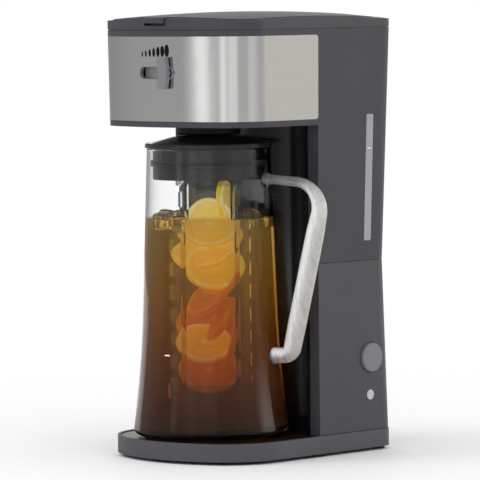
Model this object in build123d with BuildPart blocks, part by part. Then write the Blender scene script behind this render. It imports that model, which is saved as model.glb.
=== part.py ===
from build123d import *
import os
from math import atan2, cos, dist, radians, sin, sqrt, tan

os.makedirs("parts", exist_ok=True)

# An iced tea maker: a brewing tower with a glass pitcher standing under its head.
# All sizes are in millimetres. Heights are above the counter; x and y are measured
# from the pitcher's axis, x to the right and y to the rear.

# ---- levels ----
FOOT_H = 3.0              # rubber feet
SKIRT_TOP = 19.0          # parting line between the base pan and the lower housing
SEAM_Z = 174.0            # parting line between the lower and the upper housing
HEAD_Z = 299.0            # underside of the brewing head
PANEL_LOW, PANEL_HIGH = 304.2, 379.8
BODY_TOP = 385.0          # parting line under the top collar
CROWN_Z = 400.8           # highest point of the lid

# ---- plan of the body ----
HALF_W_TOP = 91.0
HALF_W_SEAM = HALF_W_TOP - 2.7
HALF_W_BASE = HALF_W_TOP - 2.4
REAR_TOP = 153.0
REAR_SEAM = REAR_TOP - 9.3
REAR_BASE = REAR_TOP - 3.0
REAR_CORNER_R = 16.0
HEAD_REACH_TOP = 67.2     # front of the head, from the pitcher's axis
HEAD_REACH_LOW = 66.0
HEAD_NOSE_R, HEAD_CORNER_R = 200.0, 37.8
BASE_REACH = 72.2
BASE_NOSE_R, BASE_CORNER_R = 130.0, 59.5
SKIRT_PROUD = 0.6         # the skirt stands out all round
COLUMN_FRONT = 48.6       # the column's flat front strips
STRIP_W = 14.4
PANEL_DEPTH = 27.6        # how far the glossy front panel hollows in behind the strips
WALL = 2.5
PANEL_T = 2.0             # glossy front panel
STEEL_T = 1.0             # steel band round the head
STEEL_PROUD = 0.1
STEEL_CORNER_R = 3.0

# ---- top ----
CROWN_Y = 49.0
CROWN_RX, CROWN_RY = 858.0, 1667.0
LID_PROUD = 0.7           # the lid stands above the collar
RIM_W = 5.2               # collar beside the lid
LID_GAP = 0.4
LID_T = 2.4
HINGE_Y, HINGE_Z = 119.0, 391.4
KNUCKLE_R = 7.9
PIN_R = 1.5
PIN_LEN = 16.0
TAB_HALF_W, TAB_OUT, TAB_T = 12.8, 3.4, 5.2
GROOVE_H, GROOVE_T = 0.8, 0.8   # parting lines round the outside

# ---- strength selector ----
SLOT_Z = 347.5
SLOT_L, SLOT_H = 43.0, 13.2
BEZEL_W = 1.3
KNOB_W, KNOB_H, KNOB_OUT = 13.5, 28.0, 6.2
KNOB_X = 12.0             # at rest, right of the middle; it slides to as far left
SLIDER_GAP = 0.4

# ---- brewing ----
SPOUT_R = 29.0
SPOUT_Z = 290.8
BASKET_R = 55.0
BASKET_TOP = 362.0
BASKET_T = 1.8
SPREADER_R = 28.0
SPREADER_Z = 366.0
TANK_GAP = 0.5
TANK_T = 1.8
TANK_TOP = 382.0
RISER_X, RISER_Y = -58.0, 118.0
RISER_R = 5.0

# ---- controls ----
BUTTON_Y, BUTTON_Z = 117.6, 85.5
BUTTON_R = 13.2
BUTTON_PROUD = 2.8
LENS_Y, LENS_Z, LENS_R = 116.4, 51.5, 4.6
WINDOW_Y, WINDOW_LOW, WINDOW_HIGH = 116.1, 192.0, 307.0
WINDOW_W, WINDOW_LEAN = 9.5, 1.8
GLAND_X, GLAND_Z, GLAND_BORE_R = -45.0, 34.0, 3.6

# ---- pitcher ----
PLATE_T = 3.0
DISC_R, DISC_H = 61.0, 2.1
GLASS_T = 3.0
GLASS_FLOOR = 5.0
GLASS_RIM_R, GLASS_WAIST_R, GLASS_FOOT_R = 55.8, 60.6, 70.9
GLASS_WAIST = 119.4       # height above the foot where the straight taper ends
GLASS_H = 258.1
HEEL_R = 5.0
HANDLE_TURN = 109.0       # round from the front towards the right side
HANDLE_W = 16.5
COVER_T = 4.6             # flange of the pitcher's cover
COVER_RISE = 5.4
SKIRT_R, SKIRT_H = 50.6, 28.0
TUBE_R, TUBE_T = 28.0, 1.8
TUBE_LOW = 52.0
SLOT_ROWS, SLOT_COLUMNS = 9, 4

PLATE_TOP = SKIRT_TOP - 0.6
DISC_TOP = PLATE_TOP + DISC_H
GLASS_LOW = DISC_TOP + 0.1
GLASS_RIM = GLASS_LOW + GLASS_H
REACH = 130.0             # half of a block that spans the whole body

# The handle is a bent glass rod in one upright plane: radius from the axis, height.
HANDLE_POINTS = [(52.0, 251.5), (114.0, 246.5), (79.5, 93.5), (58.0, 92.0)]
HANDLE_BENDS = [24.0, 9.0]
# thickness of the rod in that plane, at equal steps from the upper end to the lower
HANDLE_THICKNESS = [8.6, 8.6, 9.4, 13.5, 16.4, 16.8, 16.8, 16.8, 16.8, 16.0, 12.5]
HANDLE_STEPS = 8          # sections in each bend
HANDLE_SIDE = 109.7       # right-hand reach of the handle, from the pitcher's axis

# The origin is under the middle of the whole machine; the pitcher's axis lies off it.
AXIS_X = (HALF_W_TOP + STEEL_PROUD - HANDLE_SIDE) / 2
AXIS_Y = (BASE_REACH + SKIRT_PROUD - REAR_TOP) / 2


# ---- planes and outlines ----
def level(z):
    """Horizontal plane at height z, its origin on the pitcher's axis."""
    return Plane(origin=(AXIS_X, AXIS_Y, z))


def side(x=0.0):
    """Upright plane facing right: its x runs to the rear and its y upwards."""
    return Plane(origin=(AXIS_X + x, AXIS_Y, 0), x_dir=(0, 1, 0), z_dir=(1, 0, 0))


def front(y=0.0):
    """Upright plane facing the front: its x runs to the right and its y upwards."""
    return Plane(origin=(AXIS_X, AXIS_Y + y, 0), x_dir=(1, 0, 0), z_dir=(0, -1, 0))


def between(z, low, low_value, high, high_value):
    return low_value + (high_value - low_value) * (z - low) / (high - low)


def half_width(z):
    """Half of the body's width, which narrows to the middle seam."""
    if z >= SEAM_Z:
        return between(z, SEAM_Z, HALF_W_SEAM, BODY_TOP, HALF_W_TOP)
    return between(z, SKIRT_TOP, HALF_W_BASE, SEAM_Z, HALF_W_SEAM)


def head_reach(z):
    return between(z, HEAD_Z, HEAD_REACH_LOW, BODY_TOP, HEAD_REACH_TOP)


def nosed_outline(z, inset, reach, nose_r, corner_r):
    """Plan at one height: straight sides, rounded front corners and a bowed front."""
    w = half_width(z)
    corner_x = w - corner_r
    nose_y = nose_r - reach
    corner_y = nose_y - sqrt((nose_r - corner_r) ** 2 - corner_x ** 2)
    scale = (nose_r - inset) / (nose_r - corner_r)
    meet = (corner_x * scale, nose_y + (corner_y - nose_y) * scale)
    r = corner_r - inset
    slant = 0.5 * (1 + corner_x / (nose_r - corner_r))
    mid = (corner_x + r * sqrt(slant), corner_y - r * sqrt(1 - slant))
    w -= inset
    with BuildSketch(level(z)) as plan:
        with BuildLine():
            Polyline((-w, corner_y), (-w, REAR_TOP + WALL), (w, REAR_TOP + WALL), (w, corner_y))
            ThreePointArc((w, corner_y), mid, meet)
            ThreePointArc(meet, (0, inset - reach), (-meet[0], meet[1]))
            ThreePointArc((-meet[0], meet[1]), (-mid[0], mid[1]), (-w, corner_y))
        make_face()
    return plan.sketch


def head_outline(z, inset):
    return nosed_outline(z, inset, head_reach(z), HEAD_NOSE_R, HEAD_CORNER_R)


def base_outline(z, inset):
    return nosed_outline(z, inset, BASE_REACH, BASE_NOSE_R, BASE_CORNER_R)


def rear_profile(inset):
    """Side view of all that lies in front of the rear face."""
    low = (REAR_BASE - inset, SKIRT_TOP)
    waist = (REAR_SEAM - inset, SEAM_Z)
    top = (REAR_TOP - inset, BODY_TOP)
    with BuildSketch(side()) as profile:
        with BuildLine():
            Polyline(low, waist, top, (top[0], CROWN_Z + WALL), (-REACH, CROWN_Z + WALL),
                     (-REACH, 0), (low[0], 0), low)
        make_face()
    return profile.sketch


def body_form(outline, bottom, top, inset=0.0):
    """Solid of the body between two levels, with rounded upright rear corners."""
    with BuildPart() as form:
        loft([outline(bottom, inset), outline(top, inset)], ruled=True)
        extrude(rear_profile(inset), amount=REACH, both=True, mode=Mode.INTERSECT)
        corners = form.edges().filter_by(
            lambda e: e.center().Y > AXIS_Y + REAR_SEAM - REAR_CORNER_R
            and abs((e @ 1).Z - (e @ 0).Z) > 0.9 * e.length)
        fillet(corners, REAR_CORNER_R - inset)
    return form.part


def bay_form(grow, top=HEAD_Z):
    """The bay that the pitcher stands in, with its walls moved out by grow."""
    panel_r, panel_y = hollow()
    with BuildPart() as bay:
        with BuildSketch(level(FOOT_H)):
            with Locations((0, panel_y)):
                Circle(panel_r + PANEL_T + grow)
            with Locations((0, COLUMN_FRONT + grow)):
                Rectangle(2 * REACH, 2 * REACH, align=(Align.CENTER, Align.MAX))
        extrude(amount=top + grow - FOOT_H)
    return bay.part


def hollow():
    """Radius and centre of the front panel's hollow face."""
    half = HALF_W_SEAM - STRIP_W
    radius = (half ** 2 + PANEL_DEPTH ** 2) / (2 * PANEL_DEPTH)
    return radius, COLUMN_FRONT + PANEL_DEPTH - radius


def under_crown(drop=0.0):
    """All that lies below the crowned top face, lowered by drop."""
    spread = 8.0
    sag = REACH ** 2 / (2 * CROWN_RX)
    centre = (AXIS_X, AXIS_Y + CROWN_Y, CROWN_Z - drop - CROWN_RY)
    tilt = radians(spread)
    with BuildPart() as crown:
        with BuildSketch(Plane(origin=centre, x_dir=(1, 0, 0), z_dir=(0, -cos(tilt), sin(tilt)))):
            with BuildLine():
                ThreePointArc((-REACH, CROWN_RY - sag), (0, CROWN_RY), (REACH, CROWN_RY - sag))
                Polyline((REACH, CROWN_RY - sag), (REACH, CROWN_RY - REACH),
                         (-REACH, CROWN_RY - REACH), (-REACH, CROWN_RY - sag))
            make_face()
        revolve(axis=Axis(centre, (1, 0, 0)), revolution_arc=2 * spread)
    return crown.part


def parted_form(outline, bottom, top):
    """Body form whose lowest rim steps in, which draws a parting line round it."""
    with BuildPart() as form:
        add(body_form(outline, bottom, top, GROOVE_T))
        add(body_form(outline, bottom + GROOVE_H, top))
    return form.part


def slab(y_low, y_high, z_low, z_high):
    """Block across the whole width, between two depths and two heights."""
    with BuildPart() as block:
        with BuildSketch(side()):
            with Locations((y_low, z_low)):
                Rectangle(y_high - y_low, z_high - z_low, align=(Align.MIN, Align.MIN))
        extrude(amount=REACH, both=True)
    return block.part


def finish(name, part):
    part.label = name
    export_step(part, f"parts/{name}.step")


# ---- base pan: the skirt and floor that everything stands on ----
FEET = [(-54, -37), (54, -37), (-79, 55), (79, 55), (-76, 139), (76, 139)]
SCREWS = [(-72, 68), (72, 68), (-62, 130), (62, 130), (0, -50)]
BOSS_R = 5.0
LEDGE_Z = PLATE_TOP - PLATE_T

with BuildPart() as base_pan:
    add(body_form(base_outline, FOOT_H, SKIRT_TOP, -SKIRT_PROUD))
    add(body_form(base_outline, FOOT_H + WALL, SKIRT_TOP, 2 * WALL), mode=Mode.SUBTRACT)
    add(body_form(base_outline, LEDGE_Z, SKIRT_TOP, WALL), mode=Mode.SUBTRACT)
    with BuildSketch(level(FOOT_H)):
        with Locations(SCREWS):
            Circle(5.5)
    extrude(amount=LEDGE_Z - FOOT_H)
    with BuildSketch(level(FOOT_H)):
        with Locations(SCREWS):
            Circle(1.7)
    extrude(amount=SKIRT_TOP, mode=Mode.SUBTRACT)
    with BuildSketch(level(FOOT_H)):
        with Locations(SCREWS):
            Circle(3.6)
    extrude(amount=4.0, mode=Mode.SUBTRACT)
    # post that holds the lamp board
    with BuildSketch(level(FOOT_H + WALL)):
        with Locations((HALF_W_BASE - 12, LENS_Y)):
            Rectangle(7, 20)
    extrude(amount=26)
    with BuildSketch(level(FOOT_H + WALL + 20)):
        with Locations((HALF_W_BASE - 12, LENS_Y)):
            Rectangle(1.8, 20)
    extrude(amount=10, mode=Mode.SUBTRACT)
finish("base_pan", base_pan.part)

with BuildPart() as rubber_feet:
    with BuildSketch(level(0)):
        with Locations(FEET):
            Circle(6.5)
    extrude(amount=FOOT_H)
    chamfer(rubber_feet.faces().group_by(Axis.Z)[0].edges(), 0.6)
finish("rubber_feet", rubber_feet.part)

with BuildPart() as base_screws:
    with BuildSketch(level(FOOT_H + 1.6)):
        with Locations(SCREWS):
            Circle(3.2)
    extrude(amount=2.4)
    with BuildSketch(level(FOOT_H + 4.0)):
        with Locations(SCREWS):
            Circle(1.5)
    extrude(amount=LEDGE_Z - FOOT_H - 4.0)
finish("base_screws", base_screws.part)

# ---- glossy plate that the pitcher stands on ----
with BuildPart() as base_plate:
    add(body_form(base_outline, LEDGE_Z, PLATE_TOP, WALL + 0.2))
    add(bay_form(0), mode=Mode.INTERSECT)
    chamfer(base_plate.faces().group_by(Axis.Z)[-1].edges().filter_by(
        lambda e: e.center().Y < AXIS_Y + COLUMN_FRONT - 1), 0.6)
    with BuildSketch(level(PLATE_TOP)):
        Circle(DISC_R)
    extrude(amount=DISC_H)
    chamfer(base_plate.faces().group_by(Axis.Z)[-1].edges(), 1.2)
    with BuildSketch(level(LEDGE_Z)):
        Circle(DISC_R - 3)
    extrude(amount=DISC_H, mode=Mode.SUBTRACT)
finish("base_plate", base_plate.part)

# ---- lower housing ----
BUTTON_X = half_width(BUTTON_Z)
LENS_X = half_width(LENS_Z)
GLAND_Y = REAR_BASE - (REAR_BASE - REAR_SEAM) * (GLAND_Z - SKIRT_TOP) / (SEAM_Z - SKIRT_TOP)


def hollow_form(bottom, top, inset, bay_top=HEAD_Z):
    """Inside of the body between two levels, behind and above the bay's walls."""
    with BuildPart() as inside:
        add(body_form(head_outline, bottom, top, inset))
        add(bay_form(inset, bay_top), mode=Mode.SUBTRACT)
    return inside.part


LOWER_INSIDE = hollow_form(SKIRT_TOP, SEAM_Z, WALL)

with BuildPart() as lower_housing:
    add(parted_form(head_outline, SKIRT_TOP, SEAM_Z))
    add(bay_form(0), mode=Mode.SUBTRACT)
    add(LOWER_INSIDE, mode=Mode.SUBTRACT)
    # screw bosses, up from the base pan
    with BuildSketch(level(SKIRT_TOP)):
        with Locations(SCREWS[:4]):
            Circle(BOSS_R)
        for x, y in SCREWS[:4]:
            rib = HALF_W_BASE - 1.5 - abs(x)
            with Locations((x + rib / 2 if x > 0 else x - rib / 2, y)):
                Rectangle(rib, 2.4)
        with Locations(SCREWS[:4]):
            Circle(1.4, mode=Mode.SUBTRACT)
    extrude(amount=22)
    # holes for the button, the lamp's lens and the cord's gland
    with BuildSketch(side(BUTTON_X - 8)):
        with Locations((BUTTON_Y, BUTTON_Z)):
            Circle(BUTTON_R + 0.5)
        with Locations((LENS_Y, LENS_Z)):
            Circle(LENS_R + 0.05)
    extrude(amount=16, mode=Mode.SUBTRACT)
    with BuildSketch(front(GLAND_Y + 8)):
        with Locations((GLAND_X, GLAND_Z)):
            Circle(6.5)
    extrude(amount=16, mode=Mode.SUBTRACT)
finish("lower_housing", lower_housing.part)

with BuildPart() as cord_gland:
    with BuildSketch(front(GLAND_Y + 2.2)):
        with Locations((GLAND_X, GLAND_Z)):
            Circle(9.0)
    extrude(amount=4)
    add(body_form(head_outline, SKIRT_TOP, SEAM_Z), mode=Mode.SUBTRACT)
    with BuildSketch(front(GLAND_Y + 1)):
        with Locations((GLAND_X, GLAND_Z)):
            Circle(6.45)
    extrude(amount=9)
    with BuildSketch(front(GLAND_Y - WALL - 1.5)):
        with Locations((GLAND_X, GLAND_Z)):
            Circle(8.5)
    extrude(amount=3)
    with BuildSketch(front(GLAND_Y + 5)):
        with Locations((GLAND_X, GLAND_Z)):
            Circle(GLAND_BORE_R)
    extrude(amount=20, mode=Mode.SUBTRACT)
finish("cord_gland", cord_gland.part)

# ---- hollow glossy panel on the front of the column ----
with BuildPart() as front_panel:
    with BuildSketch(level(PLATE_TOP)):
        with Locations((0, hollow()[1])):
            Circle(hollow()[0] + PANEL_T)
            Circle(hollow()[0], mode=Mode.SUBTRACT)
        with Locations((0, COLUMN_FRONT)):
            Rectangle(2 * REACH, 2 * REACH, align=(Align.CENTER, Align.MIN),
                      mode=Mode.INTERSECT)
    extrude(amount=HEAD_Z - PLATE_TOP)
finish("front_panel", front_panel.part)

# ---- upper housing: the tank's tower and the brewing head ----
WINDOW_MID = (WINDOW_LOW + WINDOW_HIGH) / 2


def window_block(clearance):
    """Slanted upright bar through the right wall, where the water level shows."""
    with BuildPart() as bar:
        with BuildSketch(side(HALF_W_SEAM - 8)):
            with Locations(Location((WINDOW_Y, WINDOW_MID), -WINDOW_LEAN)):
                RectangleRounded(WINDOW_W - 2 * clearance,
                                 WINDOW_HIGH - WINDOW_LOW - 2 * clearance, 1.2)
        extrude(amount=16)
    return bar.part


def band(outer, inner, clearance=0.0):
    """Band round the head for the steel panel, between two insets."""
    with BuildPart() as ring:
        add(body_form(head_outline, PANEL_LOW + clearance, PANEL_HIGH - clearance, outer))
        add(body_form(head_outline, PANEL_LOW - 1, PANEL_HIGH + 1, inner), mode=Mode.SUBTRACT)
        with BuildSketch(side()):
            with Locations((COLUMN_FRONT - clearance, (PANEL_LOW + PANEL_HIGH) / 2)):
                RectangleRounded(2 * REACH, PANEL_HIGH - PANEL_LOW - 2 * clearance,
                                 STEEL_CORNER_R, align=(Align.MAX, Align.CENTER))
        extrude(amount=REACH, both=True, mode=Mode.INTERSECT)
    return ring.part


def slot_block(grow):
    """Bar through the head's front wall, as long and high as the selector's slot."""
    with BuildPart() as bar:
        with BuildSketch(front(-HEAD_REACH_LOW + 12)):
            with Locations((0, SLOT_Z)):
                SlotOverall(SLOT_L + 2 * grow, SLOT_H + 2 * grow)
        extrude(amount=24)
    return bar.part


with BuildPart() as upper_housing:
    add(parted_form(head_outline, SEAM_Z, BODY_TOP))
    add(bay_form(0), mode=Mode.SUBTRACT)
    add(hollow_form(SEAM_Z + WALL, BODY_TOP, WALL), mode=Mode.SUBTRACT)
    add(band(-1.0, STEEL_T - STEEL_PROUD), mode=Mode.SUBTRACT)
    add(slot_block(0.0), mode=Mode.SUBTRACT)
    add(window_block(0.0), mode=Mode.SUBTRACT)
    with BuildSketch(level(HEAD_Z - 1)):
        Circle(SPOUT_R + 0.4)
    extrude(amount=WALL + 2, mode=Mode.SUBTRACT)
    with BuildSketch(level(SEAM_Z - 1)):
        with Locations((RISER_X, RISER_Y)):
            Circle(RISER_R + 3.4)
        with Locations((0, RISER_Y)):
            Circle(8.4)
    extrude(amount=WALL + 2, mode=Mode.SUBTRACT)
    # shelf that the brew basket's cup rests on
    with BuildSketch(level(HEAD_Z + WALL)):
        Circle(SPOUT_R + 6)
        Circle(SPOUT_R + 1.2, mode=Mode.SUBTRACT)
    extrude(amount=1.5)
finish("upper_housing", upper_housing.part)

with BuildPart() as steel_panel:
    add(band(-STEEL_PROUD, STEEL_T - STEEL_PROUD - 0.05, 0.1))
    add(slot_block(0.0), mode=Mode.SUBTRACT)
finish("steel_panel", steel_panel.part)

with BuildPart() as slot_bezel:
    add(slot_block(-0.05))
    add(body_form(head_outline, PANEL_LOW, PANEL_HIGH, -STEEL_PROUD - 0.3), mode=Mode.INTERSECT)
    add(body_form(head_outline, PANEL_LOW, PANEL_HIGH, WALL + 1.2), mode=Mode.SUBTRACT)
    add(slot_block(-BEZEL_W), mode=Mode.SUBTRACT)
finish("slot_bezel", slot_bezel.part)

with BuildPart() as water_window:
    add(window_block(0.1))
    add(body_form(head_outline, SEAM_Z, BODY_TOP, 0.2), mode=Mode.INTERSECT)
    add(body_form(head_outline, SEAM_Z, BODY_TOP, WALL), mode=Mode.SUBTRACT)
finish("water_window", water_window.part)

# ---- water tank, in the tower ----
TANK_INSET = WALL + TANK_GAP
TANK_LOW = SEAM_Z + WALL
FEED_Z = SPREADER_Z + 7.0

OUTLET_R = 6.0
with BuildPart() as water_tank:
    add(hollow_form(TANK_LOW, TANK_TOP, TANK_INSET, BODY_TOP))
    add(hollow_form(TANK_LOW + 2.2, TANK_TOP, TANK_INSET + TANK_T, BODY_TOP), mode=Mode.SUBTRACT)
    with BuildSketch(level(TANK_LOW)):
        with Locations((RISER_X, RISER_Y)):
            Circle(RISER_R + 1.6)
        with Locations((0, RISER_Y)):
            Circle(4.0)
    extrude(amount=4, mode=Mode.SUBTRACT)
    # outlet spigot under the tank
    with BuildSketch(level(TANK_LOW - 12)):
        with Locations((0, RISER_Y)):
            Circle(OUTLET_R)
            Circle(4.0, mode=Mode.SUBTRACT)
    extrude(amount=12)
    with BuildSketch(front(120)):
        with Locations((0, FEED_Z)):
            Circle(RISER_R + 0.1)
    extrude(amount=80, mode=Mode.SUBTRACT)
finish("water_tank", water_tank.part)

# ---- top collar with the rear deck ----
DECK_Y = HINGE_Y + KNUCKLE_R + 1.4
LEDGE_END = HINGE_Y - KNUCKLE_R - 6
LEDGE_TOP = BODY_TOP + 2.2
NOTCH_Z = LEDGE_TOP + 2.2
ROOF = CROWN_Z + WALL

with BuildPart() as top_collar:
    add(parted_form(head_outline, BODY_TOP, CROWN_Z))
    add(under_crown(LID_PROUD), mode=Mode.INTERSECT)
    # opening for the lid, in front of the deck, and the ledge that the lid rests on
    add(body_form(head_outline, LEDGE_TOP, ROOF, RIM_W) & slab(-REACH, DECK_Y, 0, ROOF),
        mode=Mode.SUBTRACT)
    add(body_form(head_outline, BODY_TOP, ROOF, RIM_W + 3.5) & slab(-REACH, LEDGE_END, 0, ROOF),
        mode=Mode.SUBTRACT)
    add(body_form(head_outline, BODY_TOP, ROOF, RIM_W) & slab(LEDGE_END, DECK_Y, 0, ROOF),
        mode=Mode.SUBTRACT)
    # the deck is a shell
    add(body_form(head_outline, BODY_TOP, CROWN_Z, WALL) & under_crown(LID_PROUD + WALL)
        & slab(DECK_Y + WALL, REACH + 50, 0, ROOF), mode=Mode.SUBTRACT)
    # finger notch under the lid's tab
    with BuildSketch(front(-HEAD_REACH_TOP + RIM_W + 1)):
        with Locations((0, NOTCH_Z)):
            Rectangle(2 * TAB_HALF_W + 1.2, 20, align=(Align.CENTER, Align.MIN))
    extrude(amount=12, mode=Mode.SUBTRACT)
    # blind holes for the hinge pins
    with BuildSketch(side(-HALF_W_TOP + RIM_W - 3.4)):
        with Locations((HINGE_Y, HINGE_Z)):
            Circle(PIN_R + 0.03)
    extrude(amount=2 * (HALF_W_TOP - RIM_W + 3.4), mode=Mode.SUBTRACT)
finish("top_collar", top_collar.part)

with BuildPart() as hinge_pins:
    for sign in (-1, 1):
        with BuildSketch(side(sign * (HALF_W_TOP - RIM_W + 3.3))):
            with Locations((HINGE_Y, HINGE_Z)):
                Circle(PIN_R)
        extrude(amount=-sign * PIN_LEN)
finish("hinge_pins", hinge_pins.part)

# ---- lid over the tank and the head ----
LID_INSET = RIM_W + LID_GAP
LID_LOW = LEDGE_TOP + 0.3

with BuildPart() as top_lid:
    add(body_form(head_outline, LID_LOW, ROOF, LID_INSET) & slab(-REACH, HINGE_Y, 0, ROOF))
    add(body_form(head_outline, LID_LOW, ROOF, LID_INSET + LID_T)
        & under_crown(LID_T) & slab(-REACH, HINGE_Y - KNUCKLE_R, 0, ROOF), mode=Mode.SUBTRACT)
    # finger tab with rounded corners
    with BuildSketch(level(NOTCH_Z + 2.2)) as tab:
        with Locations((0, -HEAD_REACH_TOP + LID_INSET + 1)):
            Rectangle(2 * TAB_HALF_W, LID_INSET + 1 + TAB_OUT, align=(Align.CENTER, Align.MAX))
        fillet(tab.vertices().group_by(Axis.Y)[0], 3.0)
    extrude(amount=TAB_T)
    # knuckle along the rear edge
    with BuildSketch(side(-HALF_W_TOP + LID_INSET + 0.6)):
        with Locations((HINGE_Y, HINGE_Z)):
            Circle(KNUCKLE_R)
    extrude(amount=2 * (HALF_W_TOP - LID_INSET - 0.6))
    add(under_crown(), mode=Mode.INTERSECT)
    with BuildSketch(side(-HALF_W_TOP)):
        with Locations((HINGE_Y, HINGE_Z)):
            Circle(PIN_R + 0.05)
    extrude(amount=2 * HALF_W_TOP, mode=Mode.SUBTRACT)
finish("top_lid", top_lid.part)

# ---- strength selector: a knob on a slider that moves a shutter over the spreader ----
FACE_Y = -HEAD_REACH_LOW - 0.4 * (SLOT_Z - HEAD_Z) / (BODY_TOP - HEAD_Z)
KNOB_BACK = FACE_Y - STEEL_PROUD - SLIDER_GAP - 0.6
KNOB_TIP = FACE_Y - STEEL_PROUD - KNOB_OUT
SLIDER_HALF = 33.0
# the flat slider clears the bowed wall at its outer end
PLATE_Y = FACE_Y + WALL + (KNOB_X + SLIDER_HALF) ** 2 / (2 * HEAD_NOSE_R - 4 * WALL) + SLIDER_GAP

with BuildPart() as selector_knob:
    with BuildSketch(level(SLOT_Z - KNOB_H / 2)):
        with BuildLine():
            left, right = KNOB_X - KNOB_W / 2, KNOB_X + KNOB_W / 2
            Polyline((right, KNOB_BACK), (left, KNOB_BACK), (left, KNOB_TIP + 2.4),
                     (left + 3.6, KNOB_TIP), (right - 2.2, KNOB_TIP), (right, KNOB_TIP + 2.0),
                     (right, KNOB_BACK))
        make_face()
    extrude(amount=KNOB_H)
    # the right side bows in to a narrow waist with a bead at its middle
    with BuildSketch(front(KNOB_TIP - 1)):
        with BuildLine():
            low, high = SLOT_Z - KNOB_H / 2 - 1, SLOT_Z + KNOB_H / 2 + 1
            ThreePointArc((right - 2.6, low), (right - 0.4, SLOT_Z), (right - 2.6, high))
            Polyline((right - 2.6, high), (right + 2, high), (right + 2, low), (right - 2.6, low))
        make_face()
    extrude(amount=-KNOB_OUT - 2, mode=Mode.SUBTRACT)
    with BuildSketch(front(KNOB_BACK)):
        with Locations((right - 1.6, SLOT_Z)):
            Circle(2.3)
    extrude(amount=KNOB_OUT - 1.6)
    # neck through the slot
    with BuildSketch(front(PLATE_Y - 0.02)):
        with Locations((KNOB_X, SLOT_Z)):
            RectangleRounded(7.0, SLOT_H - 2 * BEZEL_W - 1.4, 1.0)
    extrude(amount=PLATE_Y - KNOB_BACK + 1)
finish("selector_knob", selector_knob.part)

with BuildPart() as selector_slider:
    with BuildSketch(front(PLATE_Y + 2.2)):
        with Locations((KNOB_X, SLOT_Z)):
            RectangleRounded(2 * SLIDER_HALF, SLOT_H + 4, 2)
    extrude(amount=2.2)
    # arm that carries the shutter
    with BuildSketch(front(PLATE_Y + 2.2)):
        with Locations((KNOB_X, SLOT_Z + SLOT_H / 2)):
            Rectangle(12, SPREADER_Z + 14.6 - SLOT_Z - SLOT_H / 2, align=(Align.CENTER, Align.MIN))
    extrude(amount=2.2)
finish("selector_slider", selector_slider.part)

SHUTTER_Z = SPREADER_Z + 13.0
with BuildPart() as diverter_shutter:
    with BuildSketch(level(SHUTTER_Z)):
        with Locations((KNOB_X, PLATE_Y + 2.2)):
            Rectangle(12, -PLATE_Y - 2.2 - 10, align=(Align.CENTER, Align.MIN))
        with Locations((KNOB_X, -10)):
            Circle(16)
    extrude(amount=1.6)
finish("diverter_shutter", diverter_shutter.part)

# ---- brew basket in the head, with the black spout under it ----
BASKET_LOW = HEAD_Z + WALL + 1.5
with BuildPart() as brew_basket:
    with BuildSketch(side()):
        with BuildLine():
            Polyline((3.0, SPOUT_Z), (SPOUT_R - 1.5, SPOUT_Z), (SPOUT_R, SPOUT_Z + 1.5),
                     (SPOUT_R, BASKET_LOW), (40, BASKET_LOW + 0.1), (49, BASKET_TOP - 3),
                     (BASKET_R, BASKET_TOP - 3), (BASKET_R, BASKET_TOP),
                     (49 - BASKET_T, BASKET_TOP), (40 - BASKET_T, BASKET_LOW + 2.4),
                     (SPOUT_R - BASKET_T, BASKET_LOW + 2), (SPOUT_R - BASKET_T - 1, SPOUT_Z + 3),
                     (3.0, SPOUT_Z + 2), (3.0, SPOUT_Z))
        make_face()
    revolve(axis=Axis((AXIS_X, AXIS_Y, 0), (0, 0, 1)))
finish("brew_basket", brew_basket.part)

# ---- water spreader over the basket, fed by a tube from the tower ----
TANK_FRONT = hollow()[1] + hollow()[0] + PANEL_T + TANK_INSET
with BuildPart() as water_spreader:
    with BuildSketch(level(SPREADER_Z)):
        Circle(SPREADER_R)
    extrude(amount=12.5)
    with BuildSketch(level(SPREADER_Z + 2)):
        Circle(SPREADER_R - 2)
    extrude(amount=12, mode=Mode.SUBTRACT)
    with BuildSketch(front(SPREADER_R + 5)):
        with Locations((0, FEED_Z)):
            Circle(RISER_R + 0.05)
    extrude(amount=20, mode=Mode.SUBTRACT)
    with BuildSketch(level(SPREADER_Z)):
        with PolarLocations(SPREADER_R - 12, 8):
            Circle(1.6)
        with Locations((0, 0)):
            Circle(1.6)
    extrude(amount=4, mode=Mode.SUBTRACT)
    # rim flange that carries it on the basket, with open quarters
    with BuildSketch(level(SPREADER_Z)):
        for turn in (45, 135, 225, 315):
            with Locations(Location((0, 0), turn)):
                with Locations((SPREADER_R - 2, 0)):
                    Rectangle(BASKET_R - SPREADER_R, 8, align=(Align.MIN, Align.CENTER))
    extrude(amount=2)
    with BuildSketch(level(BASKET_TOP)):
        Circle(BASKET_R)
        Circle(BASKET_R - 4, mode=Mode.SUBTRACT)
    extrude(amount=SPREADER_Z + 2 - BASKET_TOP)
finish("water_spreader", water_spreader.part)

with BuildPart() as feed_tube:
    with BuildSketch(front(TANK_FRONT + 8)):
        with Locations((0, FEED_Z)):
            Circle(RISER_R)
            Circle(RISER_R - 1.2, mode=Mode.SUBTRACT)
    extrude(amount=TANK_FRONT + 8 - SPREADER_R + 1)
finish("feed_tube", feed_tube.part)

# ---- heater and water path in the column ----
HEATER_Z, HEATER_HALF = 62.0, 38.0
HOSE_X = 50.0
VALVE_TOP = TANK_LOW - 10.5
VALVE_LOW = VALVE_TOP - 26.0
HOSE_Z = (VALVE_LOW + HEATER_Z + 22.0) / 2


def bent_tube(points, bend, outer, bore):
    """Tube along a bent path of points, measured from the pitcher's axis."""
    with BuildPart() as tube:
        with BuildLine() as path:
            FilletPolyline(*[(AXIS_X + x, AXIS_Y + y, z) for x, y, z in points], radius=bend)
        with BuildSketch(Plane(path.line @ 0, z_dir=path.line % 0)):
            Circle(outer)
            Circle(bore, mode=Mode.SUBTRACT)
        sweep()
    return tube.part


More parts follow.
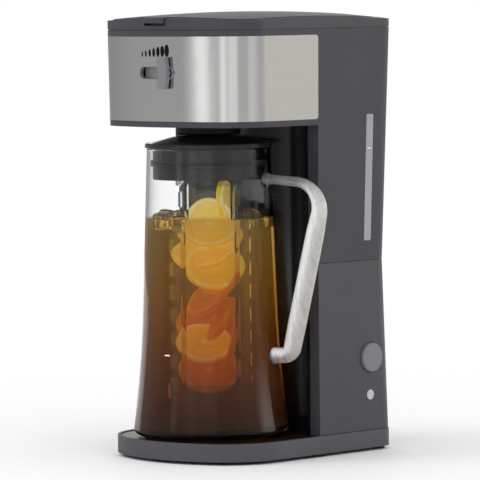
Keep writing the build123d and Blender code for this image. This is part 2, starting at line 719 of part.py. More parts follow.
with BuildPart() as riser_tube:
    add(bent_tube([(-HEATER_HALF - 0.1, RISER_Y, HEATER_Z), (RISER_X, RISER_Y, HEATER_Z),
                   (RISER_X, RISER_Y, FEED_Z), (0, RISER_Y, FEED_Z),
                   (0, TANK_FRONT + 8.1, FEED_Z)], 10, RISER_R, RISER_R - 1.2))
finish("riser_tube", riser_tube.part)

with BuildPart() as riser_grommet:
    with BuildSketch(level(TANK_LOW - 2)):
        with Locations((RISER_X, RISER_Y)):
            Circle(RISER_R + 3.0)
    extrude(amount=1.95)
    with BuildSketch(level(TANK_LOW - 2)):
        with Locations((RISER_X, RISER_Y)):
            Circle(RISER_R + 1.5)
    extrude(amount=6)
    with BuildSketch(level(TANK_LOW + 2.25)):
        with Locations((RISER_X, RISER_Y)):
            Circle(RISER_R + 3.0)
    extrude(amount=2)
    with BuildSketch(level(TANK_LOW - 4)):
        with Locations((RISER_X, RISER_Y)):
            Circle(RISER_R + 0.05)
    extrude(amount=12, mode=Mode.SUBTRACT)
finish("riser_grommet", riser_grommet.part)

with BuildPart() as check_valve:
    with BuildSketch(level(VALVE_LOW)):
        with Locations((0, RISER_Y)):
            Circle(9)
    extrude(amount=VALVE_TOP - VALVE_LOW)
    chamfer(check_valve.faces().sort_by(Axis.Z)[0].edges(), 2)
    with BuildSketch(level(TANK_LOW - 12.1)):
        with Locations((0, RISER_Y)):
            Circle(OUTLET_R + 0.05)
    extrude(amount=20, mode=Mode.SUBTRACT)
    with BuildSketch(level(VALVE_LOW - 1)):
        with Locations((0, RISER_Y)):
            Circle(3.6)
    extrude(amount=40, mode=Mode.SUBTRACT)
finish("check_valve", check_valve.part)

with BuildPart() as inlet_hose:
    add(bent_tube([(0, RISER_Y, VALVE_LOW - 0.1), (0, RISER_Y, HOSE_Z), (HOSE_X, RISER_Y, HOSE_Z),
                   (HOSE_X, RISER_Y, HEATER_Z), (HEATER_HALF + 0.1, RISER_Y, HEATER_Z)],
                  10, 5.6, 3.6))
finish("inlet_hose", inlet_hose.part)

with BuildPart() as flow_heater:
    with BuildSketch(side(-HEATER_HALF)):
        with Locations((RISER_Y, HEATER_Z - 8)):
            SlotOverall(36, 18, rotation=90)
        with Locations((RISER_Y, HEATER_Z)):
            Circle(3.8, mode=Mode.SUBTRACT)
    extrude(amount=2 * HEATER_HALF)
    # two straps that stand it on the column's floor
    for x in (-HEATER_HALF + 6, HEATER_HALF - 14):
        with BuildSketch(side(x)):
            with Locations((RISER_Y, LEDGE_Z)):
                Rectangle(30, HEATER_Z - 20 - LEDGE_Z, align=(Align.CENTER, Align.MIN))
                Rectangle(24, HEATER_Z - 30 - LEDGE_Z, align=(Align.CENTER, Align.MIN),
                          mode=Mode.SUBTRACT)
        extrude(amount=8)
finish("flow_heater", flow_heater.part)

with BuildPart() as heater_stand:
    with BuildSketch(level(FOOT_H + WALL)):
        with Locations((0, RISER_Y)):
            Rectangle(2 * HEATER_HALF + 4, 40)
            Rectangle(2 * HEATER_HALF - 4, 32, mode=Mode.SUBTRACT)
    extrude(amount=LEDGE_Z - FOOT_H - WALL)
finish("heater_stand", heater_stand.part)

with BuildPart() as thermostat:
    with BuildSketch(level(HEATER_Z + 9.5)):
        with Locations((14, RISER_Y)):
            Circle(7.5)
    extrude(amount=6)
    with BuildSketch(level(HEATER_Z + 6)):
        with Locations((14, RISER_Y)):
            Rectangle(12, 14)
    extrude(amount=3.5)
    add(flow_heater.part, mode=Mode.SUBTRACT)
finish("thermostat", thermostat.part)

with BuildPart() as thermal_fuse:
    with BuildSketch(side(-26)):
        with Locations((RISER_Y, HEATER_Z + 12.55)):
            Circle(2.5)
    extrude(amount=20)
finish("thermal_fuse", thermal_fuse.part)

# ---- start button and lamp ----
CUP_DEPTH = 17.0
STEM_R = 4.0
with BuildPart() as brew_button:
    with BuildSketch(side(BUTTON_X - WALL - 4.0)):
        with Locations((BUTTON_Y, BUTTON_Z)):
            Circle(BUTTON_R)
    extrude(amount=WALL + 4.0 + BUTTON_PROUD)
    chamfer(brew_button.faces().sort_by(Axis.X)[-1].edges(), 0.7)
    with BuildSketch(side(BUTTON_X - WALL - 2.6)):
        with Locations((BUTTON_Y, BUTTON_Z)):
            Circle(BUTTON_R + 1.5)
    extrude(amount=1.4)
    with BuildSketch(side(BUTTON_X - CUP_DEPTH + 3.4)):
        with Locations((BUTTON_Y, BUTTON_Z)):
            Circle(STEM_R)
    extrude(amount=CUP_DEPTH - WALL - 6)
finish("brew_button", brew_button.part)

with BuildPart() as brew_switch:
    with BuildSketch(side(BUTTON_X - CUP_DEPTH)):
        with Locations((BUTTON_Y, BUTTON_Z)):
            Circle(BUTTON_R + 4.0)
    extrude(amount=CUP_DEPTH)
    with BuildSketch(side(BUTTON_X - CUP_DEPTH + 3)):
        with Locations((BUTTON_Y, BUTTON_Z)):
            Circle(BUTTON_R + 2.2)
    extrude(amount=CUP_DEPTH, mode=Mode.SUBTRACT)
    with BuildSketch(side(BUTTON_X - CUP_DEPTH - 4)):
        with Locations((BUTTON_Y, BUTTON_Z)):
            Rectangle(13, 20)
    extrude(amount=4.0)
    with BuildSketch(side(BUTTON_X - CUP_DEPTH - 0.2)):
        with Locations((BUTTON_Y, BUTTON_Z)):
            Circle(STEM_R + 0.4)
    extrude(amount=CUP_DEPTH, mode=Mode.SUBTRACT)
    with BuildSketch(side(BUTTON_X - WALL - 0.2)):
        with Locations((BUTTON_Y, BUTTON_Z)):
            Circle(2 * BUTTON_R)
    extrude(amount=2 * WALL, mode=Mode.SUBTRACT)
    add(LOWER_INSIDE, mode=Mode.INTERSECT)
finish("brew_switch", brew_switch.part)

with BuildPart() as lamp_lens:
    with BuildSketch(side(LENS_X - WALL - 1)):
        with Locations((LENS_Y, LENS_Z)):
            Circle(LENS_R)
    extrude(amount=WALL + 1.4)
    chamfer(lamp_lens.faces().sort_by(Axis.X)[-1].edges(), 0.3)
    with BuildSketch(side(LENS_X - WALL - 1.6)):
        with Locations((LENS_Y, LENS_Z)):
            Circle(LENS_R + 1.4)
    extrude(amount=1.4)
finish("lamp_lens", lamp_lens.part)

BOARD_X = HALF_W_BASE - 12 + 3.5
with BuildPart() as lamp_board:
    with BuildSketch(side(BOARD_X - 4.3)):
        with Locations((LENS_Y, FOOT_H + WALL + 20.1)):
            Rectangle(19, LENS_Z + 8 - FOOT_H - WALL - 20.1, align=(Align.CENTER, Align.MIN))
    extrude(amount=1.6)
    with BuildSketch(side(BOARD_X - 2.7)):
        with Locations((LENS_Y, LENS_Z)):
            Circle(2.4)
    extrude(amount=LENS_X - WALL - 1.7 - BOARD_X + 2.7)
finish("lamp_board", lamp_board.part)

# ---- pitcher ----
def glass_form(inset, floor, heel_r, top):
    """Solid of revolution inside the glass's outer face, set in by inset."""
    with BuildPart() as form:
        with BuildSketch(side()):
            with BuildLine():
                low, high = (GLASS_FOOT_R - inset, floor), (GLASS_RIM_R - inset, top)
                taper = Line(high, (GLASS_WAIST_R - inset, GLASS_LOW + GLASS_WAIST))
                TangentArc(taper @ 1, low, tangent=taper % 1)
                Polyline(low, (0, floor), (0, top), high)
            make_face()
        revolve(axis=Axis((AXIS_X, AXIS_Y, 0), (0, 0, 1)))
        fillet(form.edges().filter_by(GeomType.CIRCLE).group_by(Axis.Z)[0], heel_r)
    return form.part


GLASS_OUTSIDE = glass_form(0, GLASS_LOW, HEEL_R, GLASS_RIM)

with BuildPart() as pitcher_glass:
    add(GLASS_OUTSIDE)
    add(glass_form(GLASS_T, GLASS_LOW + GLASS_FLOOR, HEEL_R - 1, GLASS_RIM + 1), mode=Mode.SUBTRACT)
    fillet(pitcher_glass.edges().filter_by(GeomType.CIRCLE).group_by(Axis.Z)[-1], 1.2)
finish("pitcher_glass", pitcher_glass.part)

HANDLE_OUT = (sin(radians(HANDLE_TURN)), -cos(radians(HANDLE_TURN)))


def heading(start, end):
    return atan2(end[1] - start[1], end[0] - start[0])


def rod_places():
    """Places along the handle as radius, height and heading, with its bends rounded."""
    first, last = heading(*HANDLE_POINTS[:2]), heading(*HANDLE_POINTS[-2:])
    places = [(*HANDLE_POINTS[0], first)]
    for number, bend in enumerate(HANDLE_BENDS):
        before, corner, after = HANDLE_POINTS[number:number + 3]
        begin = heading(before, corner)
        turn = heading(corner, after) - begin
        back = bend * tan(-turn / 2)
        centre_r = corner[0] - back * cos(begin) + bend * sin(begin)
        centre_z = corner[1] - back * sin(begin) - bend * cos(begin)
        for step in range(HANDLE_STEPS + 1):
            way = begin + turn * step / HANDLE_STEPS
            places.append((centre_r - bend * sin(way), centre_z + bend * cos(way), way))
    places.append((*HANDLE_POINTS[-1], last))
    return places


def rod_thickness(share):
    """Thickness of the rod at a share of its length."""
    place = share * (len(HANDLE_THICKNESS) - 1)
    whole = min(int(place), len(HANDLE_THICKNESS) - 2)
    return between(place, whole, HANDLE_THICKNESS[whole], whole + 1, HANDLE_THICKNESS[whole + 1])


with BuildPart() as pitcher_handle:
    places = rod_places()
    lengths = [dist(a[:2], b[:2]) for a, b in zip(places, places[1:])]
    for number, (r, z, way) in enumerate(places):
        origin = (AXIS_X + r * HANDLE_OUT[0], AXIS_Y + r * HANDLE_OUT[1], z)
        along = (cos(way) * HANDLE_OUT[0], cos(way) * HANDLE_OUT[1], sin(way))
        with BuildSketch(Plane(origin, x_dir=(HANDLE_OUT[1], -HANDLE_OUT[0], 0), z_dir=along)):
            Ellipse(HANDLE_W / 2, rod_thickness(sum(lengths[:number]) / sum(lengths)) / 2)
    loft(ruled=True)
    add(GLASS_OUTSIDE, mode=Mode.SUBTRACT)
finish("pitcher_handle", pitcher_handle.part)

# ---- cover of the pitcher ----
COVER_LOW = GLASS_RIM + 0.3
NECK_R = TUBE_R + 0.3
TUBE_TOP = COVER_LOW - 14.0

with BuildPart() as pitcher_cover:
    with BuildSketch(side()):
        with BuildLine():
            rim = GLASS_RIM_R + 1.7
            Polyline((5, COVER_LOW + 2), (5, COVER_LOW), (NECK_R, COVER_LOW), (NECK_R, TUBE_TOP - 12),
                     (NECK_R + 2.4, TUBE_TOP - 12), (NECK_R + 2.4, COVER_LOW),
                     (SKIRT_R - 2, COVER_LOW), (SKIRT_R - 2, COVER_LOW - SKIRT_H),
                     (SKIRT_R, COVER_LOW - SKIRT_H), (SKIRT_R, COVER_LOW), (rim - 0.6, COVER_LOW),
                     (rim, COVER_LOW + 0.6), (rim, COVER_LOW + COVER_T - 0.8),
                     (rim - 0.8, COVER_LOW + COVER_T), (rim - 3, COVER_LOW + COVER_T),
                     (32, COVER_LOW + COVER_T + COVER_RISE), (28, COVER_LOW + COVER_T + COVER_RISE),
                     (23, COVER_LOW + 3.6), (5, COVER_LOW + 2))
        make_face()
    revolve(axis=Axis((AXIS_X, AXIS_Y, 0), (0, 0, 1)))
    # step that stops the tube
    with BuildSketch(level(TUBE_TOP + 0.05)):
        Circle(NECK_R)
        Circle(NECK_R - 3, mode=Mode.SUBTRACT)
    extrude(amount=2)
finish("pitcher_cover", pitcher_cover.part)

GASKET_Z = COVER_LOW - 16.0
with BuildPart() as cover_gasket:
    with BuildSketch(level(GASKET_Z)):
        Circle(SKIRT_R + 2.0)
        Circle(SKIRT_R + 0.1, mode=Mode.SUBTRACT)
    extrude(amount=5)
    with BuildSketch(level(GASKET_Z + 1.8)):
        Circle(SKIRT_R + 3)
        Circle(SKIRT_R + 1.2, mode=Mode.SUBTRACT)
    extrude(amount=1.4, mode=Mode.SUBTRACT)
finish("cover_gasket", cover_gasket.part)

# ---- infuser that hangs in the pitcher from its cover ----
with BuildPart() as infuser_tube:
    with BuildSketch(level(TUBE_LOW)):
        Circle(TUBE_R)
        Circle(TUBE_R - TUBE_T, mode=Mode.SUBTRACT)
    extrude(amount=TUBE_TOP - TUBE_LOW)
    pitch = (TUBE_TOP - TUBE_LOW - 46) / (SLOT_ROWS - 1)
    for row in range(SLOT_ROWS):
        with BuildSketch(level(TUBE_LOW + 20 + pitch * row)):
            for turn in range(SLOT_COLUMNS // 2):
                with Locations(Location((0, 0), 45 + 360 / SLOT_COLUMNS * turn)):
                    Rectangle(3 * TUBE_R, TUBE_R * 0.9)
        extrude(amount=pitch * 0.36, mode=Mode.SUBTRACT)
finish("infuser_tube", infuser_tube.part)

with BuildPart() as infuser_cap:
    with BuildSketch(level(TUBE_LOW - 3)):
        Circle(TUBE_R + 2.2)
    extrude(amount=12)
    fillet(infuser_cap.faces().sort_by(Axis.Z)[0].edges(), 2)
    with BuildSketch(level(TUBE_LOW - 0.05)):
        Circle(TUBE_R + 0.05)
    extrude(amount=20, mode=Mode.SUBTRACT)
    with BuildSketch(level(TUBE_LOW - 3)):
        with PolarLocations(TUBE_R * 0.62, 6):
            Circle(3.2)
        with Locations((0, 0)):
            Circle(3.2)
    extrude(amount=4, mode=Mode.SUBTRACT)
finish("infuser_cap", infuser_cap.part)

with BuildPart() as infuser_frame:
    # two rings and four ribs outside the tube
    for z in (TUBE_LOW + 9.05, TUBE_TOP - 20):
        with BuildSketch(level(z)):
            Circle(TUBE_R + 2.2)
            Circle(TUBE_R + 0.05, mode=Mode.SUBTRACT)
        extrude(amount=5)
    with BuildSketch(level(TUBE_LOW + 12)):
        with PolarLocations(TUBE_R + 1.1, 4):
            Rectangle(2.1, 3.4)
    extrude(amount=TUBE_TOP - TUBE_LOW - 30)
    with BuildSketch(level(TUBE_LOW)):
        Circle(TUBE_R + 0.05)
    extrude(amount=TUBE_TOP - TUBE_LOW, mode=Mode.SUBTRACT)
finish("infuser_frame", infuser_frame.part)
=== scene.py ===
"""Iced tea maker: camera, light, materials and the pieces that CAD does not hold."""
import math
import random

import bmesh
import bpy
from mathutils import Matrix, Vector
from mathutils.bvhtree import BVHTree


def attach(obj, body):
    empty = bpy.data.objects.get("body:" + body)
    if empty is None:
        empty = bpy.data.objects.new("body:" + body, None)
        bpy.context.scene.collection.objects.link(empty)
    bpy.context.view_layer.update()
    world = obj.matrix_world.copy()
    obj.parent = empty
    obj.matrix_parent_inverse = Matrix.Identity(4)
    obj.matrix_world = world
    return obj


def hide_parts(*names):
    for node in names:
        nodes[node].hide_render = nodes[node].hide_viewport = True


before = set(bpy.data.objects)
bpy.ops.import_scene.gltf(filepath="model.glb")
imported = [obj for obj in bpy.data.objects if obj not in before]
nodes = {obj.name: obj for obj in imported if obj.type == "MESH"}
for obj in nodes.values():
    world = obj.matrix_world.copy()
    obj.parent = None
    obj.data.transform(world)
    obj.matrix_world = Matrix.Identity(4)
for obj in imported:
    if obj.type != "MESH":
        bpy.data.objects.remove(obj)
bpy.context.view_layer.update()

MM = 0.001
AXIS = Vector((-9.3, -40.1, 0.0)) * MM      # the pitcher's axis on the counter
rng = random.Random(7)


def place(x, y, z):
    """Point in millimetres from the pitcher's axis and the counter."""
    return AXIS + Vector((x, y, z)) * MM


# ---- camera: the photograph's place, roll and framing ----
AZIMUTH = math.radians(44.3)                # where the camera stands; 0 is the front
DISTANCE, EYE = 3744.0, 425.3               # mm from the pitcher's axis, and above the counter
HEADING = AZIMUTH - math.radians(0.419)
TILT = math.radians(90 - 3.52)
ROLL = -0.011
SENSOR_MM, FOCAL_PX, PHOTO_PX = 36.0, 4157.0, 480.0

camera_data = bpy.data.cameras.new("camera")
camera_data.sensor_width = SENSOR_MM
camera_data.lens = FOCAL_PX / PHOTO_PX * SENSOR_MM
camera_data.clip_end = 100.0
camera = bpy.data.objects.new("camera", camera_data)
bpy.context.scene.collection.objects.link(camera)
camera.matrix_world = (
    Matrix.Translation(place(DISTANCE * math.sin(AZIMUTH), -DISTANCE * math.cos(AZIMUTH), EYE))
    @ Matrix.Rotation(HEADING, 4, "Z") @ Matrix.Rotation(TILT, 4, "X")
    @ Matrix.Rotation(ROLL, 4, "Z"))
bpy.context.scene.camera = camera
bpy.context.scene.view_settings.view_transform = "Standard"


# ---- node helpers ----
NOISE_LOW, NOISE_HIGH = 0.3, 0.7            # most of a noise texture's values lie between these


def shader(name):
    """New node material: gives the material, its tree and its Principled node."""
    mat = bpy.data.materials.new(name)
    mat.use_nodes = True
    tree = mat.node_tree
    return mat, tree, tree.nodes["Principled BSDF"]


def setting(mat, socket, value):
    """Set one constant on a material's Principled node."""
    mat.node_tree.nodes["Principled BSDF"].inputs[socket].default_value = value


def coords(tree):
    """Object coordinates: the shared frame, in metres."""
    return tree.nodes.new("ShaderNodeTexCoord").outputs["Object"]


def split(tree, vector):
    """The X, Y and Z outputs of a vector."""
    node = tree.nodes.new("ShaderNodeSeparateXYZ")
    tree.links.new(vector, node.inputs["Vector"])
    return node.outputs


def uv_across(tree):
    """UV x, which the rod and the fruit use for how far out a point is."""
    return split(tree, tree.nodes.new("ShaderNodeUVMap").outputs["UV"])["X"]


def stretch(tree, vector, scale):
    """Coordinates scaled along each axis, to draw out a noise."""
    node = tree.nodes.new("ShaderNodeMapping")
    node.inputs["Scale"].default_value = scale
    tree.links.new(vector, node.inputs["Vector"])
    return node.outputs["Vector"]


def noise(tree, vector, scale, detail=3.0, rough=0.5):
    """Noise texture's value."""
    node = tree.nodes.new("ShaderNodeTexNoise")
    node.inputs["Scale"].default_value = scale
    node.inputs["Detail"].default_value = detail
    node.inputs["Roughness"].default_value = rough
    tree.links.new(vector, node.inputs["Vector"])
    return node.outputs["Fac"]


def maths(tree, operation, *values):
    """Math node's result; each value is a number or another node's output."""
    node = tree.nodes.new("ShaderNodeMath")
    node.operation = operation
    for socket, value in zip(node.inputs, values):
        if isinstance(value, bpy.types.NodeSocket):
            tree.links.new(value, socket)
        else:
            socket.default_value = value
    return node.outputs["Value"]


def remap(tree, value, begin, end, low=0.0, high=1.0):
    """Spread the values from begin to end over low to high, and hold them there."""
    node = tree.nodes.new("ShaderNodeMapRange")
    node.inputs["From Min"].default_value = begin
    node.inputs["From Max"].default_value = end
    node.inputs["To Min"].default_value = low
    node.inputs["To Max"].default_value = high
    tree.links.new(value, node.inputs["Value"])
    return node.outputs["Result"]


def ramp(tree, value, stops):
    """Colour ramp; stops are (position, grey or rgb)."""
    node = tree.nodes.new("ShaderNodeValToRGB")
    marks = node.color_ramp.elements
    while len(marks) < len(stops):
        marks.new(0.5)
    for mark, (where, colour) in zip(marks, stops):
        mark.position = where
        if not isinstance(colour, tuple):
            colour = (colour, colour, colour)
        mark.color = (*colour, 1.0)
    tree.links.new(value, node.inputs["Fac"])
    return node.outputs["Color"]


def bump(tree, bsdf, height, strength, distance):
    """Small relief in a surface, with its depth in metres."""
    node = tree.nodes.new("ShaderNodeBump")
    node.inputs["Strength"].default_value = strength
    node.inputs["Distance"].default_value = distance
    tree.links.new(height, node.inputs["Height"])
    tree.links.new(node.outputs["Normal"], bsdf.inputs["Normal"])


# ---- materials ----
TONE_SCALE, GLOSS_SCALE = 14.0, 90.0        # noise scales of a plastic's tone and its gloss
TONE_SPREAD, GLOSS_SPREAD = 0.06, 0.08      # how far they vary, as shares
GRAIN_DEPTH = 0.00005                       # metres


def plastic(name, colour, roughness, grain=0.1, grain_size=1800.0, specular=0.5):
    """Moulded plastic: a fine grain, and a little unevenness in tone and gloss."""
    mat, tree, bsdf = shader(name)
    where = coords(tree)
    darker = tuple(c * (1 - TONE_SPREAD) for c in colour)
    lighter = tuple(min(1.0, c * (1 + TONE_SPREAD)) for c in colour)
    tone = ramp(tree, noise(tree, where, TONE_SCALE), [(NOISE_LOW, darker), (NOISE_HIGH, lighter)])
    gloss = remap(tree, noise(tree, where, GLOSS_SCALE), NOISE_LOW, NOISE_HIGH,
                  roughness * (1 - GLOSS_SPREAD), roughness * (1 + GLOSS_SPREAD))
    tree.links.new(tone, bsdf.inputs["Base Color"])
    tree.links.new(gloss, bsdf.inputs["Roughness"])
    bsdf.inputs["Specular IOR Level"].default_value = specular
    if grain:
        bump(tree, bsdf, noise(tree, where, grain_size, 2.0), grain, GRAIN_DEPTH)
    return mat


def brushed_steel():
    """Steel brushed along the band, with hair-fine lines and a soft grain."""
    mat, tree, bsdf = shader("brushed_steel")
    lines = noise(tree, stretch(tree, coords(tree), (8.0, 8.0, 9000.0)), 1.0, 3.0, 0.6)
    tone = ramp(tree, lines, [(NOISE_LOW, (0.595, 0.59, 0.585)), (NOISE_HIGH, (0.635, 0.63, 0.62))])
    gloss = remap(tree, lines, NOISE_LOW, NOISE_HIGH, 0.10, 0.14)
    tree.links.new(tone, bsdf.inputs["Base Color"])
    tree.links.new(gloss, bsdf.inputs["Roughness"])
    bsdf.inputs["Metallic"].default_value = 1.0
    bump(tree, bsdf, lines, 0.03, 0.00001)
    return mat


def clear(name, colour, roughness=0.0, ior=1.47):
    """Clear glass or plastic with a very faint unevenness in its surface."""
    mat, tree, bsdf = shader(name)
    bsdf.inputs["Base Color"].default_value = (*colour, 1.0)
    bsdf.inputs["Transmission Weight"].default_value = 1.0
    bsdf.inputs["Roughness"].default_value = roughness
    bsdf.inputs["IOR"].default_value = ior
    bump(tree, bsdf, noise(tree, coords(tree), 30.0, 1.0), 0.05, 0.0004)
    return mat


def handle_glass_painted_highlight():
    """The handle's glass: a milky white band on its inner edge as a painted highlight, clear on its
    outer edge and its top arm.
    """
    mat, tree, bsdf = shader("handle_glass_painted_highlight")
    where = coords(tree)
    in_arm = remap(tree, split(tree, where)["Z"], 0.225, 0.250, 0.0, 0.9)
    streak = noise(tree, stretch(tree, where, (420.0, 420.0, 14.0)), 1.0, 2.0)
    outwards = maths(tree, "MULTIPLY_ADD", streak, 0.5, uv_across(tree))
    clearness = maths(tree, "MAXIMUM", in_arm, remap(tree, outwards, 0.52, 0.86, 0.10, 0.80))
    tone = ramp(tree, streak, [(NOISE_LOW, (0.93, 0.93, 0.92)), (NOISE_HIGH, (0.99, 0.99, 0.985))])
    tree.links.new(clearness, bsdf.inputs["Transmission Weight"])
    tree.links.new(tone, bsdf.inputs["Base Color"])
    bsdf.inputs["Roughness"].default_value = 0.02
    bsdf.inputs["IOR"].default_value = 1.47
    bump(tree, bsdf, streak, 0.10, 0.0003)
    return mat


def brewed_tea():
    """Tea: dark brown at the bottom, amber at the top, with slow swirls."""
    mat, tree, bsdf = shader("tea")
    where = coords(tree)
    climb = remap(tree, split(tree, where)["Z"], 0.02, 0.216)
    murk = noise(tree, stretch(tree, where, (55.0, 55.0, 9.0)), 1.0, 3.0)
    swirl = maths(tree, "MULTIPLY_ADD", murk, 0.30, -0.15)
    tone = ramp(tree, maths(tree, "ADD", climb, swirl), [
        (0.0, (0.20, 0.085, 0.055)), (0.12, (0.30, 0.095, 0.040)), (0.4, (0.62, 0.20, 0.035)),
        (0.75, (0.90, 0.44, 0.065)), (1.0, (0.90, 0.59, 0.17))])
    tree.links.new(tone, bsdf.inputs["Base Color"])
    bsdf.inputs["Transmission Weight"].default_value = 0.80
    bsdf.inputs["Roughness"].default_value = 0.0
    bsdf.inputs["IOR"].default_value = 1.33
    bsdf.inputs["Specular Tint"].default_value = (0.1, 0.1, 0.1, 1)
    return mat


def citrus(name, rind, pith, flesh, glow):
    """Cut citrus: translucent flesh round a pale core, white pith and a coloured rind, glowing in
    its own colours as painted light for the light that reaches it through the glass and tea.
    """
    mat, tree, bsdf = shader(name)
    tone = ramp(tree, uv_across(tree), [
        (0.0, pith), (0.10, pith), (0.16, flesh), (0.80, flesh), (0.86, pith), (0.93, pith),
        (0.97, rind)])
    tree.links.new(tone, bsdf.inputs["Base Color"])
    # painted light: the fruit glows in its own colours, standing in for light through the glass and
    # tea
    tree.links.new(tone, bsdf.inputs["Emission Color"])
    bsdf.inputs["Emission Strength"].default_value = glow
    bsdf.inputs["Roughness"].default_value = 0.3
    bsdf.inputs["Subsurface Weight"].default_value = 0.5
    bsdf.inputs["Subsurface Scale"].default_value = 0.01
    bump(tree, bsdf, noise(tree, coords(tree), 600.0), 0.3, 0.0006)
    return mat


# the lower housing and base pan are set step by step lighter than the upper housing: painted light
# for the lower parts showing brighter, besides small differences in tone between the mouldings
body_plastic = plastic("body_plastic", (0.041, 0.040, 0.048), 0.42, 0.12, specular=0.33)
lower_plastic = plastic("lower_plastic", (0.050, 0.049, 0.058), 0.42, 0.12, specular=0.38)
pan_plastic = plastic("pan_plastic", (0.063, 0.062, 0.073), 0.42, 0.12)
collar_plastic = plastic("collar_plastic", (0.034, 0.033, 0.040), 0.38, 0.10)
panel_black = plastic("panel_black", (0.004, 0.004, 0.005), 0.12, 0.0, specular=0.25)
# base plate: glossy black tinted reddish brown, a painted reflection of the tea standing on it, with
# weak real reflections
plate_painted_tea_reflection = plastic("plate_painted_tea_reflection", (0.022, 0.010, 0.006), 0.24, 0.0, specular=0.04)
dark_gloss = plastic("dark_gloss", (0.018, 0.018, 0.021), 0.12, 0.0, specular=0.3)
inner_black = plastic("inner_black", (0.006, 0.006, 0.007), 0.5, 0.1, specular=0.2)
knob_plastic = plastic("knob_plastic", (0.165, 0.17, 0.18), 0.30, 0.08)
bezel_plastic = plastic("bezel_plastic", (0.22, 0.22, 0.23), 0.3, 0.0)
slider_plastic = plastic("slider_plastic", (0.34, 0.34, 0.35), 0.4, 0.08)
button_rubber = plastic("button_rubber", (0.17, 0.17, 0.185), 0.62, 0.3, 1400.0)
rubber = plastic("rubber", (0.02, 0.02, 0.021), 0.75, 0.25, 900.0)
hose_rubber = plastic("hose_rubber", (0.62, 0.62, 0.60), 0.5, 0.1)
cast_metal = plastic("cast_metal", (0.42, 0.42, 0.43), 0.45, 0.5, 500.0)
board_green = plastic("board_green", (0.02, 0.13, 0.05), 0.4, 0.0)
screw_steel = plastic("screw_steel", (0.45, 0.45, 0.46), 0.3, 0.0)
ink = plastic("ink", (0.003, 0.003, 0.003), 0.5, 0.0, specular=0.1)
# painted highlight: light grey for the steel panel's bevelled edge
steel_edge_painted_highlight = plastic("steel_edge_painted_highlight", (0.62, 0.62, 0.61), 0.35, 0.0)
white_print = plastic("white_print", (0.85, 0.85, 0.85), 0.4, 0.0)
window_plastic = plastic("window_plastic", (0.29, 0.285, 0.32), 0.25, 0.0)
lamp_clear = plastic("lamp_clear", (0.45, 0.445, 0.47), 0.12, 0.0)
setting(cast_metal, "Metallic", 1.0)
setting(screw_steel, "Metallic", 1.0)

steel = brushed_steel()
glass = clear("glass", (0.985, 0.992, 0.99))
rod_glass = clear("rod_glass", (0.97, 0.975, 0.975))
infuser_clear = clear("infuser_clear", (0.98, 0.98, 0.975), 0.0, 1.02)
smoke_clear = clear("smoke_clear", (0.80, 0.78, 0.76), 0.03, 1.08)
ice = clear("ice", (0.97, 0.98, 0.98), 0.02, 1.31)
setting(glass, "Specular Tint", (0.4, 0.4, 0.4, 1))
setting(infuser_clear, "Coat Weight", 0.5)

handle_painted_highlight = handle_glass_painted_highlight()
tea_look = brewed_tea()
# the last number is each fruit's painted glow
lemon = citrus("lemon", (0.86, 0.62, 0.02), (0.90, 0.82, 0.38), (0.88, 0.66, 0.10), 0.25)
orange = citrus("orange", (0.85, 0.24, 0.01), (0.80, 0.38, 0.07), (0.72, 0.21, 0.01), 0.12)

LOOKS = {
    body_plastic: ["upper_housing"],
    lower_plastic: ["lower_housing"],
    pan_plastic: ["base_pan"],
    collar_plastic: ["top_collar", "top_lid"],
    panel_black: ["front_panel"],
    plate_painted_tea_reflection: ["base_plate"],
    steel: ["steel_panel"],
    bezel_plastic: ["slot_bezel"],
    knob_plastic: ["selector_knob"],
    slider_plastic: ["selector_slider"],
    button_rubber: ["brew_button"],
    window_plastic: ["water_window"],
    lamp_clear: ["lamp_lens"],
    glass: ["pitcher_glass"],
    rod_glass: ["pitcher_handle"],
    dark_gloss: ["pitcher_cover"],
    infuser_clear: ["infuser_tube"],
    smoke_clear: ["infuser_frame", "infuser_cap"],
    rubber: ["rubber_feet", "cover_gasket", "riser_grommet", "cord_gland"],
    inner_black: ["water_tank", "brew_basket", "water_spreader", "diverter_shutter",
                  "check_valve", "brew_switch", "heater_stand"],
    hose_rubber: ["riser_tube", "feed_tube", "inlet_hose"],
    cast_metal: ["flow_heater", "thermostat", "thermal_fuse"],
    board_green: ["lamp_board"],
    screw_steel: ["base_screws", "hinge_pins"],
}
for mat, names in LOOKS.items():
    for name in names:
        nodes[name].data.materials.clear()
        nodes[name].data.materials.append(mat)


# ---- soft edges on the moulded parts, in mm ----
SOFT_EDGES = {"base_pan": 0.5, "lower_housing": 0.35, "upper_housing": 0.35, "top_collar": 0.35,
              "top_lid": 0.5, "steel_panel": 0.7, "slot_bezel": 0.3, "selector_knob": 0.5,
              "brew_button": 0.4, "base_plate": 0.3}
SHARP = math.radians(35.0)                  # only edges that turn by more than this are softened
for name, width in SOFT_EDGES.items():
    edge = nodes[name].modifiers.new("soft_edges", "BEVEL")
    edge.width = width * MM
    edge.segments = 2
    edge.limit_method = "ANGLE"
    edge.angle_limit = SHARP
    edge.harden_normals = True

# the steel panel's bevelled edge gets a painted highlight all round: a light grey non-metal material
# in slot 1
nodes["steel_panel"].data.materials.append(steel_edge_painted_highlight)
nodes["steel_panel"].modifiers["soft_edges"].material = 1


# ---- mesh helpers ----
def circle(count):
    """Angles of count equal steps round a circle."""
    return [2 * math.pi * step / count for step in range(count)]


def skin(bm, rings, capped=False):
    """Faces between neighbouring rings of corners; a ring of one corner is a point."""
    count = max(len(ring) for ring in rings)
    for one, two in zip(rings, rings[1:]):
        for step in range(count):
            after = (step + 1) % count
            corners = [one[step % len(one)], one[after % len(one)],
                       two[after % len(two)], two[step % len(two)]]
            unique = list(dict.fromkeys(corners))
            if len(unique) > 2:
                bm.faces.new(unique)
    if capped:
        bm.faces.new(rings[0])
        bm.faces.new(rings[-1])
    bmesh.ops.recalc_face_normals(bm, faces=bm.faces)


